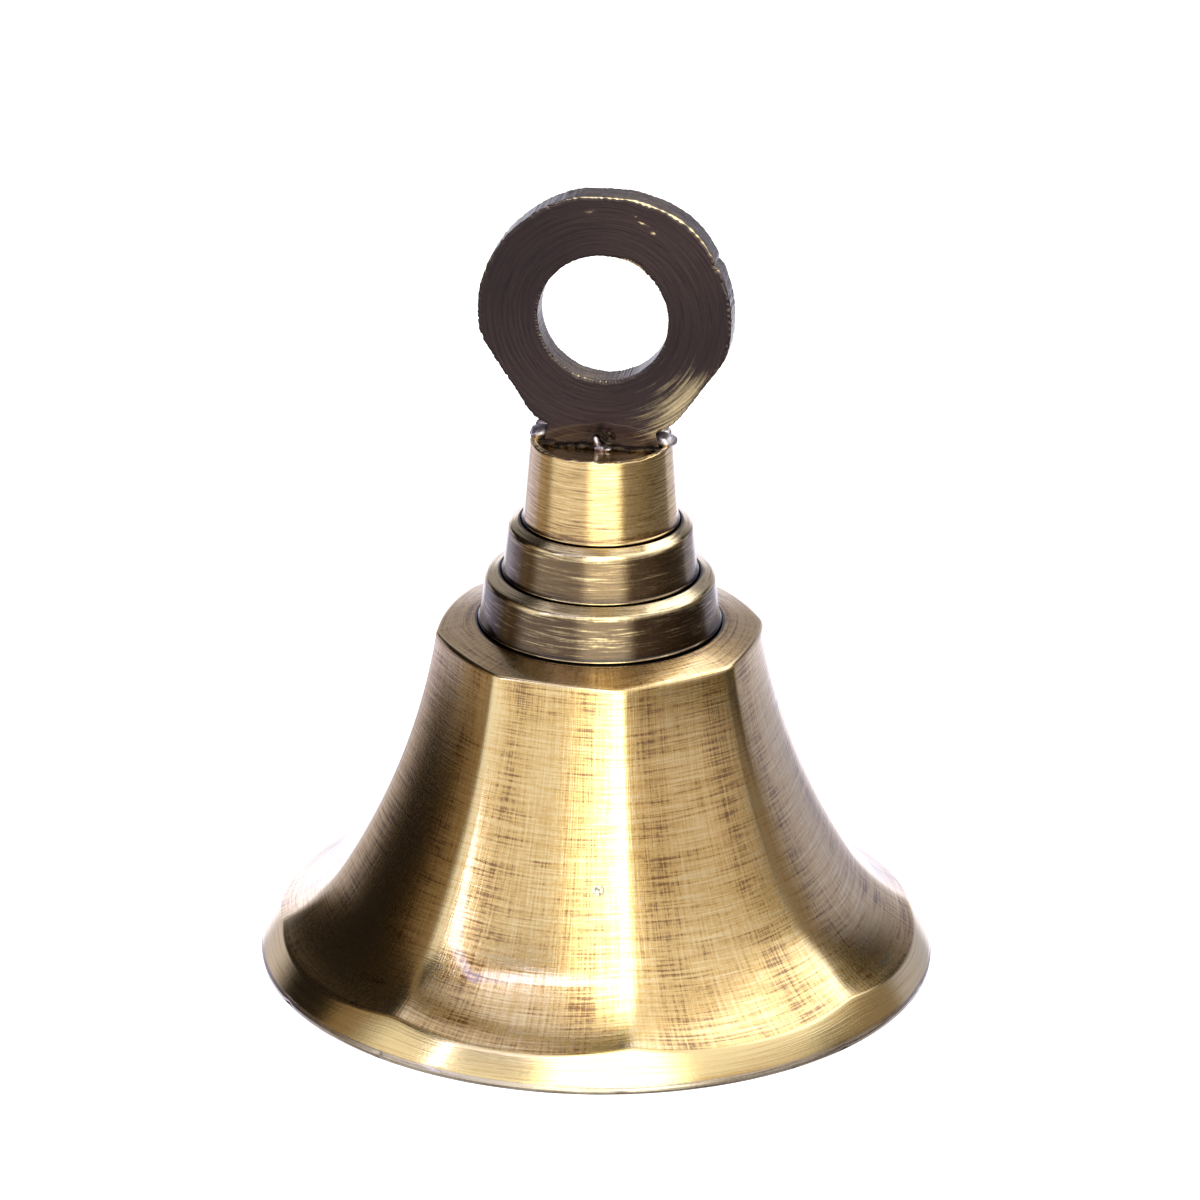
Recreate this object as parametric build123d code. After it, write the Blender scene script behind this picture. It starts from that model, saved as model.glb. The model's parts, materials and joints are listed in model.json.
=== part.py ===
from build123d import *
import math
import os

# A small brass temple bell standing on its rim: an eight-sided flared shell, a stepped crown of two
# collars and a neck, a hanging ring brazed on top, and a clapper hung from an eye bolt inside.
# Millimetres.  The origin is the centre of the mouth, +Z is up, and the hole of the ring runs along Y.

# ---- shell -------------------------------------------------------------------------------------
FACETS = 8
FACET_TURN = -6.7          # the ring is brazed on this many degrees out of line with the facets
FACET_SET_BACK = 10.0      # each facet bulges: it turns about an axis this far behind the bell's axis
MOUTH_R = 25.0
LIP_H = 0.41
FLARE_TOP = (11.52, 27.0)  # middle line of a facet, as (radius, height)
FLARE_MID = (13.97, 16.5)
FLARE_LOW = (18.39, 7.3)
FLARE_FOOT = (23.1, 2.75)
BAND_MID = (23.95, 2.15)   # turned band between the lip and the facets
BAND_TOP = (22.7, 3.75)
BAND_RUN_OUT = (21.9, 5.0)
SHELL_TOP_R = 12.6
SHELL_TOP_Z = 25.7
CROWN_Z = 26.55            # height of the shell where the lower collar sinks into it
SEAT_DEPTH = 0.35          # each tier sits this deep in the one below
FOOT_RUN_OUT = 3.0         # the foot of each facet is drawn on past the round band that cuts it off
OVERCUT = 1.0              # cutting bodies run this far past the faces they open

# ---- inside of the shell -----------------------------------------------------------------------
HOLLOW_MOUTH_R = 22.6
HOLLOW_FOOT = (19.6, 3.25)
HOLLOW_LOW = (16.6, 6.4)
HOLLOW_MID = (12.0, 15.5)
HOLLOW_TOP = (9.9, 21.0)
HOLLOW_CROWN_R = 7.6
CEILING_Z = 23.2

# ---- tiers of the crown ------------------------------------------------------------------------
LOWER_FOOT_R, LOWER_TOP_R, LOWER_TOP_Z = 8.86, 8.42, 29.96
MIDDLE_FOOT_R, MIDDLE_TOP_R, MIDDLE_TOP_Z = 7.14, 6.73, 33.96
NECK_FOOT_R, NECK_TOP_R, NECK_TOP_Z = 5.70, 5.18, 40.70
LEDGE_RISE = 0.45          # a tier's upper face climbs this much from its edge to its seat
EDGE_ROUND = 0.28
SEAT_GAP = 0.12            # dark line left round the foot of each tier
NECK_CHAMFER = 0.15
DISH_R = 4.6
DISH_DEPTH = 0.45

# ---- hanging ring ------------------------------------------------------------------------------
RING_T = 2.2
RING_X = 0.15              # the ring stands this far off the bell's axis
RING_Z = 50.2
RING_HOLE_R = 4.75
RING_R = 9.35
RING_FLAT_Z = 59.43        # filed flat across the top
RING_FOOT_HALF = 4.2
RING_FOOT_TOP_Z = 40.95
RING_FOOT_Z = 39.3
SLOT_GAP = 0.03
FLANK_ANGLES = (-8.0, -17.0)   # where the left and right flanks leave the circle, below level
BEAD_LEG = 0.55
BEAD_LENGTH = 7.0
LUG_R = 1.15
LUG_X = 4.15
LUG_RISE = 0.2             # middle of each lump above the neck's rim

# ---- eye bolt, washer and nut ------------------------------------------------------------------
BOLT_R = 1.5
BOLT_TOP_Z = 37.4
BOLT_HOLE_R = 1.6
THREAD_GAP = 0.03
THREAD_PITCH = 0.5
THREAD_DEPTH = 0.28
THREAD_END = 0.3           # plain length at each end of the upper thread
GROOVE_RISE = 0.1          # a groove's cutter reaches this far outside the bolt ...
GROOVE_HALF = 0.22         # ... and is this half as wide there
NECK_HOLE_TOP_Z = 38.0
EYE_WIRE_R = 0.7
EYE_R = 1.8
EYE_Z = 18.2
EYE_SINK = 0.2             # the shank reaches this far into the top of the eye
SHANK_TAPER = 0.4          # and tapers to the wire over its thickness, down to here below its middle
WASHER_R = 3.6
WASHER_HOLE_R = 1.65
WASHER_T = 0.5
NUT_ACROSS_FLATS = 5.5
NUT_T = 1.8
NUT_BEVEL = 0.3

# ---- clapper -----------------------------------------------------------------------------------
LINK_WIRE_R = 0.5
HANG_GAP = 0.12            # play between hooked wires
LINK_STRAIGHT = 2.0
LINK_SLIT = 0.2            # the link is bent wire; its ends meet at this slit
CLAPPER_WIRE_R = 0.6
CLAPPER_EYE_R = 1.5
CLAPPER_ROD_R = 0.55
ROD_SINK = 0.1             # the rod's ends reach this far into its eye and its peened cap
BALL_R = 4.6
BALL_Z = 5.9
BALL_FLAT = 4.5            # small flats where the rod's hole comes out, this far from the centre
BALL_HOLE_R = 0.58
PEEN_R = 1.1
PEEN_H = 0.65

# ---- sizes that follow -------------------------------------------------------------------------
LOWER_Z = CROWN_Z - SEAT_DEPTH
MIDDLE_Z = LOWER_TOP_Z + LEDGE_RISE - SEAT_DEPTH
NECK_Z = MIDDLE_TOP_Z + LEDGE_RISE - SEAT_DEPTH
DISH_FLOOR_Z = NECK_TOP_Z - DISH_DEPTH
EYE_TOP_Z = EYE_Z + EYE_R + EYE_WIRE_R
WASHER_Z = CEILING_Z - WASHER_T
NUT_Z = WASHER_Z - NUT_T
LINK_ARC_R = EYE_WIRE_R + HANG_GAP + LINK_WIRE_R
LINK_TOP_Z = EYE_Z - EYE_R
LINK_LOW_Z = LINK_TOP_Z - LINK_STRAIGHT
HOOK_Z = LINK_LOW_Z - LINK_ARC_R
CLAPPER_EYE_Z = HOOK_Z + LINK_WIRE_R + HANG_GAP + CLAPPER_WIRE_R - CLAPPER_EYE_R


def turned(*edges):
    """Body turned about Z from edges drawn as (radius, height)."""
    return revolve(Plane.XZ * make_face(edges), Axis.Z)


def tube(outer, inner, low, high):
    """Plain ring of metal between two heights."""
    length = high - low
    at = Pos(0, 0, low + length / 2)
    return at * (Cylinder(outer, length) - Cylinder(inner, length))


def rod(radius, low, high):
    """Upright cylinder between two heights."""
    return Pos(0, 0, (low + high) / 2) * Cylinder(radius, high - low)


def outline(*points):
    """Closed outline through the points, as edges for a turned body."""
    return Polyline(*points, close=True).edges()


# ---- shell -------------------------------------------------------------------------------------
def facet_body():
    """Flared body whose side toward -Y is one bulged facet."""
    def shifted(point):
        return (point[0] + FACET_SET_BACK, point[1])

    flare = ThreePointArc(shifted(FLARE_TOP), shifted(FLARE_MID), shifted(FLARE_LOW))
    foot = TangentArc(shifted(FLARE_LOW), shifted(FLARE_FOOT), tangent=flare % 1)
    tip = foot @ 1 + (foot % 1) * FOOT_RUN_OUT
    walls = Polyline((tip.X, tip.Y), (tip.X, -OVERCUT), (0, -OVERCUT), (0, FLARE_TOP[1]), shifted(FLARE_TOP))
    return Pos(0, FACET_SET_BACK, 0) * turned(flare, foot, Line(foot @ 1, tip), *walls.edges())


def rim_body():
    """Round body that carries the lip, the turned band above it and the sloping top of the shell."""
    band = ThreePointArc((MOUTH_R, LIP_H), BAND_MID, BAND_TOP)
    rest = Polyline(BAND_TOP, BAND_RUN_OUT, (BAND_RUN_OUT[0], SHELL_TOP_Z), (SHELL_TOP_R, SHELL_TOP_Z),
                    (LOWER_FOOT_R, CROWN_Z), (0, CROWN_Z), (0, 0), (MOUTH_R, 0), (MOUTH_R, LIP_H))
    return turned(band, *rest.edges())


def hollow():
    """Space inside the shell."""
    foot = ThreePointArc((HOLLOW_MOUTH_R, 0), HOLLOW_FOOT, HOLLOW_LOW)
    wall = ThreePointArc(HOLLOW_LOW, HOLLOW_MID, HOLLOW_TOP)
    dome = TangentArc(HOLLOW_TOP, (HOLLOW_CROWN_R, CEILING_Z), tangent=wall % 1)
    rest = Polyline((HOLLOW_CROWN_R, CEILING_Z), (0, CEILING_Z), (0, 0), (HOLLOW_MOUTH_R, 0))
    return turned(foot, wall, dome, *rest.edges())


def bell_shell():
    """Eight-sided flared shell, round at the lip, hollow, with a seat and a bolt hole in its crown."""
    body = rim_body()
    for k in range(FACETS):
        body &= Rot(0, 0, 360 / FACETS * k) * facet_body()
    body -= hollow()
    body -= rod(BOLT_HOLE_R, CEILING_Z - OVERCUT, CROWN_Z + OVERCUT)
    body -= rod(LOWER_FOOT_R + SEAT_GAP, LOWER_Z, CROWN_Z + OVERCUT)
    return Rot(0, 0, FACET_TURN) * body


# ---- tiers -------------------------------------------------------------------------------------
def collar(foot_r, foot_z, top_r, top_z, seat_r):
    """Tapered collar with a rounded edge, a climbing upper face and a seat for the tier above."""
    ledge_z = top_z + LEDGE_RISE
    wall_top = (top_r, top_z - EDGE_ROUND)
    ledge_foot = (top_r - EDGE_ROUND, top_z)
    inset = EDGE_ROUND * (1 - math.sqrt(0.5))
    edge = ThreePointArc(wall_top, (top_r - inset, top_z - inset), ledge_foot)
    rest = Polyline(ledge_foot, (seat_r, ledge_z), (seat_r, ledge_z - SEAT_DEPTH),
                    (BOLT_HOLE_R, ledge_z - SEAT_DEPTH), (BOLT_HOLE_R, foot_z), (foot_r, foot_z), wall_top)
    return turned(edge, *rest.edges())


def neck():
    """Tapered neck with a dished top, a slot for the ring's foot and a blind hole for the bolt."""
    body = turned(*outline((0, NECK_Z), (NECK_FOOT_R, NECK_Z), (NECK_TOP_R, NECK_TOP_Z - NECK_CHAMFER),
                           (NECK_TOP_R - NECK_CHAMFER, NECK_TOP_Z), (DISH_R, NECK_TOP_Z),
                           (DISH_R - DISH_DEPTH, DISH_FLOOR_Z), (0, DISH_FLOOR_Z)))
    slot_h = NECK_TOP_Z - RING_FOOT_Z
    slot = Box(2 * (RING_FOOT_HALF + SLOT_GAP), RING_T + 2 * SLOT_GAP, slot_h)
    body -= Pos(RING_X, 0, RING_FOOT_Z + slot_h / 2) * slot
    return body - rod(BOLT_R + THREAD_GAP, NECK_Z, NECK_HOLE_TOP_Z)


# ---- ring and braze ----------------------------------------------------------------------------
def hanging_ring():
    """Ring cut from plate, with straight flanks running down to a foot that fills the neck's slot."""
    def on_circle(side, angle):
        a = math.radians(angle)
        return (side * RING_R * math.cos(a), RING_Z + RING_R * math.sin(a))

    half, top, low = RING_FOOT_HALF, RING_FOOT_TOP_Z, RING_FOOT_Z
    left, right = (on_circle(side, angle) for side, angle in zip((-1, 1), FLANK_ANGLES))
    foot = Polyline(left, (-half, top), (-half, low), (half, low), (half, top), right, close=True)
    plate = make_face(foot) + Pos(0, RING_Z) * Circle(RING_R)
    plate -= Pos(0, RING_FLAT_Z + RING_R) * Rectangle(2 * RING_R, 2 * RING_R)
    for side, start in ((-1, left), (1, right)):
        edge = side * RING_R
        plate -= make_face(Polyline(start, (side * half, top), (edge, top), (edge, start[1]), close=True))
    plate -= Pos(0, RING_Z) * Circle(RING_HOLE_R)
    return Pos(RING_X, 0, 0) * extrude(Plane.XZ * plate, RING_T / 2, both=True)


def braze(ring_plate, neck_body):
    """Beads along both faces of the ring's foot and a lump at each end of it."""
    face = RING_T / 2
    section = make_face(Polyline((face, DISH_FLOOR_Z), (face + BEAD_LEG, DISH_FLOOR_Z),
                                 (face, DISH_FLOOR_Z + BEAD_LEG), close=True))
    bead = extrude(Plane.YZ * section, BEAD_LENGTH / 2, both=True)
    pieces = [(Pos(RING_X, 0, 0) * Rot(0, 0, turn) * bead).solid() for turn in (0, 180)]
    for side in (-1, 1):
        lump = Pos(RING_X + side * LUG_X, 0, NECK_TOP_Z + LUG_RISE) * Sphere(LUG_R)
        pieces.append((lump - ring_plate - neck_body).solids().sort_by(SortBy.VOLUME)[-1])
    return Compound(children=pieces)


# ---- eye bolt, washer and nut ------------------------------------------------------------------
def upright_eye(ring_r, wire_r, height):
    """Wire eye standing in the YZ plane."""
    return Pos(0, 0, height) * Rot(0, 90, 0) * Torus(ring_r, wire_r)


def thread_grooves(low, high):
    """Vee grooves that stand for the thread between two heights."""
    grooves = []
    for k in range(int((high - low) / THREAD_PITCH)):
        z = low + (k + 0.5) * THREAD_PITCH
        grooves.append(turned(*outline((BOLT_R + GROOVE_RISE, z - GROOVE_HALF),
                                       (BOLT_R + GROOVE_RISE, z + GROOVE_HALF), (BOLT_R - THREAD_DEPTH, z))))
    return grooves


def eye_bolt():
    """Bolt through the whole crown: threaded at both ends, with an eye below the nut."""
    shank_z = EYE_TOP_Z - EYE_SINK
    body = rod(BOLT_R, shank_z, BOLT_TOP_Z)
    taper_z = EYE_Z + EYE_R - SHANK_TAPER
    body += turned(*outline((0, shank_z), (BOLT_R, shank_z), (EYE_WIRE_R, taper_z), (0, taper_z)))
    body += upright_eye(EYE_R, EYE_WIRE_R, EYE_Z)
    body -= thread_grooves(EYE_TOP_Z, CEILING_Z)
    body -= thread_grooves(NECK_Z + THREAD_END, BOLT_TOP_Z - THREAD_END)
    return body


def crown_nut():
    """Hexagon nut, bevelled below."""
    hexagon = RegularPolygon(NUT_ACROSS_FLATS / 2, 6, major_radius=False)
    blank = Pos(0, 0, NUT_Z) * extrude(hexagon, NUT_T)
    corner_r = NUT_ACROSS_FLATS / math.sqrt(3)
    blank &= turned(*outline((0, NUT_Z), (corner_r - NUT_BEVEL, NUT_Z), (corner_r, NUT_Z + NUT_BEVEL),
                             (corner_r, WASHER_Z), (0, WASHER_Z)))
    return blank - rod(BOLT_R + THREAD_GAP, NUT_Z - OVERCUT, WASHER_Z + OVERCUT)


# ---- clapper -----------------------------------------------------------------------------------
def clapper_link():
    """Long link of bent wire lying in the XZ plane, hooked through both eyes."""
    def bend(height, start):
        section = Pos(LINK_ARC_R, 0, 0) * Plane.XY * Circle(LINK_WIRE_R)
        half = revolve(section, Axis.Y, -180)
        return Pos(0, 0, height) * Rot(0, start, 0) * half

    body = bend(LINK_TOP_Z, 0) + bend(LINK_LOW_Z, 180)
    for side in (-1, 1):
        body += Pos(side * LINK_ARC_R, 0, 0) * rod(LINK_WIRE_R, LINK_LOW_Z, LINK_TOP_Z)
    middle = (LINK_LOW_Z + LINK_TOP_Z) / 2
    return body - Pos(LINK_ARC_R, 0, middle) * Box(4 * LINK_WIRE_R, 4 * LINK_WIRE_R, LINK_SLIT)


def clapper_rod():
    """Wire with an eye at the top and its end peened over below the ball."""
    low = BALL_Z - BALL_FLAT
    body = upright_eye(CLAPPER_EYE_R, CLAPPER_WIRE_R, CLAPPER_EYE_Z)
    body += rod(CLAPPER_ROD_R, low - ROD_SINK, CLAPPER_EYE_Z - CLAPPER_EYE_R - ROD_SINK)
    cap_r = (PEEN_R ** 2 + PEEN_H ** 2) / (2 * PEEN_H)
    cap = Pos(0, 0, low - PEEN_H + cap_r) * Sphere(cap_r)
    return body + (cap & rod(2 * PEEN_R, low - PEEN_H, low))


def clapper_ball():
    """Ball drilled through for the rod."""
    ball = Pos(0, 0, BALL_Z) * (Sphere(BALL_R) & Box(2 * BALL_R, 2 * BALL_R, 2 * BALL_FLAT))
    return ball - rod(BALL_HOLE_R, 0, BALL_Z + BALL_R)


# ---- all nodes ---------------------------------------------------------------------------------
def main():
    ring_plate = hanging_ring()
    neck_body = neck()
    nodes = {
        "bell_shell": bell_shell(),
        "lower_collar": collar(LOWER_FOOT_R, LOWER_Z, LOWER_TOP_R, LOWER_TOP_Z, MIDDLE_FOOT_R + SEAT_GAP),
        "middle_collar": collar(MIDDLE_FOOT_R, MIDDLE_Z, MIDDLE_TOP_R, MIDDLE_TOP_Z, NECK_FOOT_R + SEAT_GAP),
        "neck": neck_body,
        "hanging_ring": ring_plate,
        "ring_braze": braze(ring_plate, neck_body),
        "eye_bolt": eye_bolt(),
        "crown_washer": tube(WASHER_R, WASHER_HOLE_R, WASHER_Z, CEILING_Z),
        "crown_nut": crown_nut(),
        "clapper_link": clapper_link(),
        "clapper_rod": clapper_rod(),
        "clapper_ball": clapper_ball(),
    }
    os.makedirs("parts", exist_ok=True)
    for name, shape in nodes.items():
        export_step(shape, f"parts/{name}.step")


main()
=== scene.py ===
import json
import math

import bpy
import numpy as np
from mathutils import Matrix, Vector


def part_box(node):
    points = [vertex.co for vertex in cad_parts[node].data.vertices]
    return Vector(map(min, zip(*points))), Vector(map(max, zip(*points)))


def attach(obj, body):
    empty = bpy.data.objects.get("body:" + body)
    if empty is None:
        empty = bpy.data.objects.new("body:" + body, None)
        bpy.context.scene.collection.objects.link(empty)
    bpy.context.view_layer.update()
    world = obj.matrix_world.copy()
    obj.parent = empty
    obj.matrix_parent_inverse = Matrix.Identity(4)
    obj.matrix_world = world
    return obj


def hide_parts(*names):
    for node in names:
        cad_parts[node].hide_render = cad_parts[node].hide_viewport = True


# A small brass temple bell on a pale table.  Shapes are worked out in millimetres in the part's own
# frame (origin at the centre of the mouth, +Z up) and written to meshes in metres.  Angles round the
# bell run from -Y toward +X.

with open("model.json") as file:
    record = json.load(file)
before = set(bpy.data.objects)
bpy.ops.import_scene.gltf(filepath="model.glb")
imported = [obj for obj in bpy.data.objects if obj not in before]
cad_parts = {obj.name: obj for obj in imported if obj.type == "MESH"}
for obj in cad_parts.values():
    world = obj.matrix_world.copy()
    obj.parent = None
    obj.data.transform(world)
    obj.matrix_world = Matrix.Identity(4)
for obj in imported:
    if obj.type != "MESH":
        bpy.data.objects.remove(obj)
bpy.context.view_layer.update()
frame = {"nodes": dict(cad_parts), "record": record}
MM = 0.001
rng = np.random.default_rng(7)


def size_of(node):
    """Lowest and highest corner of a CAD node, in millimetres."""
    low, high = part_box(node)
    return np.array(low) / MM, np.array(high) / MM


# ---- driving dimensions, millimetres and degrees -----------------------------------------------
# shell
FACETS = 8
FACET_TURN = -6.7
SET_BACK = 10.0
FLARE_TOP, FLARE_MID, FLARE_LOW = (11.52, 27.0), (13.97, 16.5), (18.39, 7.3)
FLARE_FOOT = (23.1, 2.75)
FLARE_RUN_OUT = 3.0
MOUTH_R = size_of("bell_shell")[1][0]
CROWN_Z = size_of("bell_shell")[1][2]
LIP_H = 0.41
BAND_MID, BAND_TOP, BAND_RUN_OUT = (23.95, 2.15), (22.7, 3.75), (21.9, 5.0)
BAND_FOOT_Z = 0.46
FACET_TOP_EDGE_Z = 24.0                # the facets' upper edge lies above this height
SHELL_TOP_R, SHELL_TOP_Z = 12.6, 25.7
CORNER_EASE, RUN_OUT_EASE, TOP_EDGE_EASE = 0.20, 0.16, 0.22
HOLLOW_MOUTH_R = 22.6
HOLLOW_FOOT, HOLLOW_LOW, HOLLOW_MID = (19.6, 3.25), (16.6, 6.4), (12.0, 15.5)
HOLLOW_TOP, HOLLOW_CROWN_R = (9.9, 21.0), 7.6
HOLLOW_MIDDLE_R = 4.0                  # the skin's ceiling stops here, above the washer
CEILING_Z = size_of("crown_washer")[1][2]

# tiers of the crown
SEAT_Z = size_of("lower_collar")[0][2]
LOWER_R = size_of("lower_collar")[1][0]
MIDDLE_R = size_of("middle_collar")[1][0]
NECK_R = size_of("neck")[1][0]
NECK_TOP_Z = size_of("neck")[1][2]
LOWER_TOP_R, MIDDLE_TOP_R, NECK_TOP_R = 8.42, 6.73, 5.18
LEDGE_RISE = 0.45
SEAT_GAP = 0.12
SEAT_DEPTH = 0.35
BOLT_HOLE_R = 1.6
FOOT_BEAD = 0.07
DISH_R, DISH_DEPTH = 4.6, 0.45
DISH_FLOOR_Z = NECK_TOP_Z - DISH_DEPTH

# hanging ring
RING_T = 2 * size_of("hanging_ring")[1][1]
RING_X, RING_Z = 0.15, 50.2
RING_R = 9.35
RING_HOLE_R = frame["record"]["mounts"][0]["dims"]["r_mm"]
RING_FLAT_Z = size_of("hanging_ring")[1][2]
RING_FOOT_HALF, RING_FOOT_TOP_Z = 4.2, 40.95
RING_FOOT_Z = size_of("hanging_ring")[0][2]
FLANK_ANGLES = (-8.0, -17.0)

# table and camera
TABLE_HOLE_R, TABLE_R = 24.9, 3000.0
CAMERA_AZIMUTH, CAMERA_ELEVATION, CAMERA_ROLL = 9.0, 22.51, 0.60
CAMERA_DISTANCE = 0.492                # metres, from the point it aims at
CAMERA_LENS, CAMERA_SENSOR = 201.6, 36.0
AIM = (0.0, 0.0, 0.0279)


# ---- small functions of arrays -----------------------------------------------------------------
def swell(value, width, power=2):
    """1 where value is 0, falling away over about width on both sides."""
    return np.exp(-np.abs(value / width)**power)


def smooth_step(value, low, high):
    """0 below low, 1 above high, eased between."""
    t = np.clip((value - low) / (high - low), 0, 1)
    return t * t * (3 - 2 * t)


def smooth_min(a, b, reach):
    """The lesser of two values, with the corner between them eased over about reach."""
    blend = np.clip(0.5 + 0.5 * (b - a) / reach, 0, 1)
    return b * (1 - blend) + a * blend - reach * blend * (1 - blend)


def waves(angle, count, low, high, power=1.0):
    """Smooth repeatable unevenness round a closed edge, from about -1 to 1.

    It is a sum of count waves of low to high turns, the quicker ones smaller by power."""
    total = np.zeros_like(angle)
    scale = 0
    for _ in range(count):
        turns = rng.integers(low, high)
        size = (low / turns)**power
        total += size * np.sin(turns * angle + rng.uniform(0, 2 * math.pi))
        scale += size**2
    return total / math.sqrt(scale)


# ---- plane curves, as arrays of points ---------------------------------------------------------
def arc_by_centre(centre, start, end, count, clockwise):
    """Points on an arc about centre from start to end."""
    a0 = math.atan2(start[1] - centre[1], start[0] - centre[0])
    a1 = math.atan2(end[1] - centre[1], end[0] - centre[0])
    if clockwise and a1 > a0:
        a1 -= 2 * math.pi
    if not clockwise and a1 < a0:
        a1 += 2 * math.pi
    radius = math.hypot(start[0] - centre[0], start[1] - centre[1])
    angle = np.linspace(a0, a1, count)
    return np.stack([centre[0] + radius * np.cos(angle), centre[1] + radius * np.sin(angle)], -1)


def arc_through(a, b, c, count=80):
    """Points on the arc that starts at a, passes b and ends at c."""
    rows = np.array([[b[0] - a[0], b[1] - a[1]], [c[0] - a[0], c[1] - a[1]]])
    squares = np.array([b[0]**2 - a[0]**2 + b[1]**2 - a[1]**2, c[0]**2 - a[0]**2 + c[1]**2 - a[1]**2]) / 2
    centre = np.linalg.solve(rows, squares)
    clockwise = rows[0][0] * rows[1][1] - rows[0][1] * rows[1][0] < 0
    return arc_by_centre(centre, a, c, count, clockwise)


def tangent_arc(path, end, count=50):
    """Points on the arc that carries the path on smoothly to end."""
    start = path[-1]
    along = path[-1] - path[-2]
    along = along / np.hypot(*along)
    normal = np.array([-along[1], along[0]])
    chord = np.array(end) - start
    offset = chord @ chord / (2 * (chord @ normal))
    return arc_by_centre(start + normal * offset, start, end, count, offset < 0)


def corner_curve(first, corner, last, t):
    """Point at t on the curve that leaves first and reaches last, both aimed at the corner."""
    return (1 - t)**2 * first + 2 * t * (1 - t) * corner + t**2 * last


def rounded(points, radius, steps=5):
    """The polyline with each inner corner rounded off."""
    points = [np.array(p, float) for p in points]
    path = [points[0]]
    for before, corner, after in zip(points, points[1:], points[2:]):
        back = before - corner
        ahead = after - corner
        reach = min(radius, 0.45 * np.hypot(*back), 0.45 * np.hypot(*ahead))
        first = corner + back / np.hypot(*back) * reach
        last = corner + ahead / np.hypot(*ahead) * reach
        path.extend(corner_curve(first, corner, last, t) for t in np.linspace(0, 1, steps))
    path.append(points[-1])
    return np.array(path)


def refined(path, step):
    """The polyline with extra points so that none of its runs is longer than step."""
    out = [path[0]]
    for a, b in zip(path, path[1:]):
        count = max(1, math.ceil(np.hypot(*(b - a)) / step))
        out.extend(a + (b - a) * k / count for k in range(1, count + 1))
    return np.array(out)


# ---- meshes ------------------------------------------------------------------------------------
class Rings:
    """Closed rings of points, one after another, that make up a skin."""

    def __init__(self, columns):
        self.columns = columns
        self.lists = ([], [], [], [])

    def add(self, first, second, wear_and_painted_light, slot=0):
        """One ring: its two coordinates, its wear value, which carries painted shade and highlights too, and
        its material slot, each a number or an array.
        """
        for values, value in zip(self.lists, (first, second, wear_and_painted_light, slot)):
            values.append(np.broadcast_to(value, (self.columns,)))

    def close(self):
        """Join the last ring to the first."""
        for values in self.lists:
            values.append(values[0])

    def arrays(self):
        return [np.array(values) for values in self.lists]


def grid_object(name, points, brush_uv, wear_and_painted_light, materials, face_slot=None):
    """Object from a (rows, columns, 3) grid in millimetres that closes on itself along its columns.

    brush_uv is (rows, columns, 2) in millimetres: first along the brush lines, then across them.
    wear is (rows, columns): 0 where patina has gathered and in painted shade, 1 where it is rubbed bright and
    on painted highlights.
    face_slot is (rows, columns): the material of each face, by the row it starts from."""
    rows, columns = points.shape[:2]
    mesh = bpy.data.meshes.new(name)
    index = np.arange(rows * columns).reshape(rows, columns)
    beside = np.roll(index, -1, 1)
    quads = np.stack([index[:-1], beside[:-1], beside[1:], index[1:]], -1).reshape(-1, 4)
    mesh.vertices.add(rows * columns)
    mesh.vertices.foreach_set("co", (points.reshape(-1, 3) * MM).ravel())
    mesh.loops.add(quads.size)
    mesh.loops.foreach_set("vertex_index", quads.ravel())
    mesh.polygons.add(len(quads))
    mesh.polygons.foreach_set("loop_start", np.arange(len(quads)) * 4)
    mesh.update(calc_edges=True)
    mesh.polygons.foreach_set("use_smooth", np.ones(len(quads), bool))

    corner_uv = brush_uv.reshape(-1, 2)[quads]
    turn, furthest = corner_uv[..., 0], brush_uv[..., 0].max()
    wraps = (turn.max(1, keepdims=True) - turn) > 0.5 * furthest
    corner_uv[..., 0] = np.where(wraps, turn + furthest * columns / (columns - 1), turn)
    mesh.uv_layers.new(name="brush").data.foreach_set("uv", corner_uv.ravel())

    value = wear_and_painted_light.reshape(-1)
    colour = np.stack([value, value, value, np.ones_like(value)], -1)
    mesh.color_attributes.new("wear_and_painted_light", "FLOAT_COLOR", "POINT").data.foreach_set("color", colour.ravel())
    for material in materials:
        mesh.materials.append(material)
    if face_slot is not None:
        mesh.polygons.foreach_set("material_index", face_slot[:-1].ravel().astype(np.int32))
    piece = bpy.data.objects.new(name, mesh)
    bpy.context.scene.collection.objects.link(piece)
    return piece


def turned_grid(path, columns=288):
    """Surface turned about Z from a path of (radius, height), with its brush coordinates."""
    angle = np.linspace(0, 2 * math.pi, columns, endpoint=False)
    radius, height = path[:, :1], path[:, 1:]
    points = np.stack([radius * np.sin(angle), -radius * np.cos(angle), height + 0 * angle], -1)
    run = np.r_[0, np.cumsum(np.hypot(*np.diff(path, axis=0).T))]
    uv = np.stack([np.broadcast_to(angle * path[:, 0].max(), points.shape[:2]),
                   np.broadcast_to(run[:, None], points.shape[:2])], -1)
    return points, uv


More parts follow.
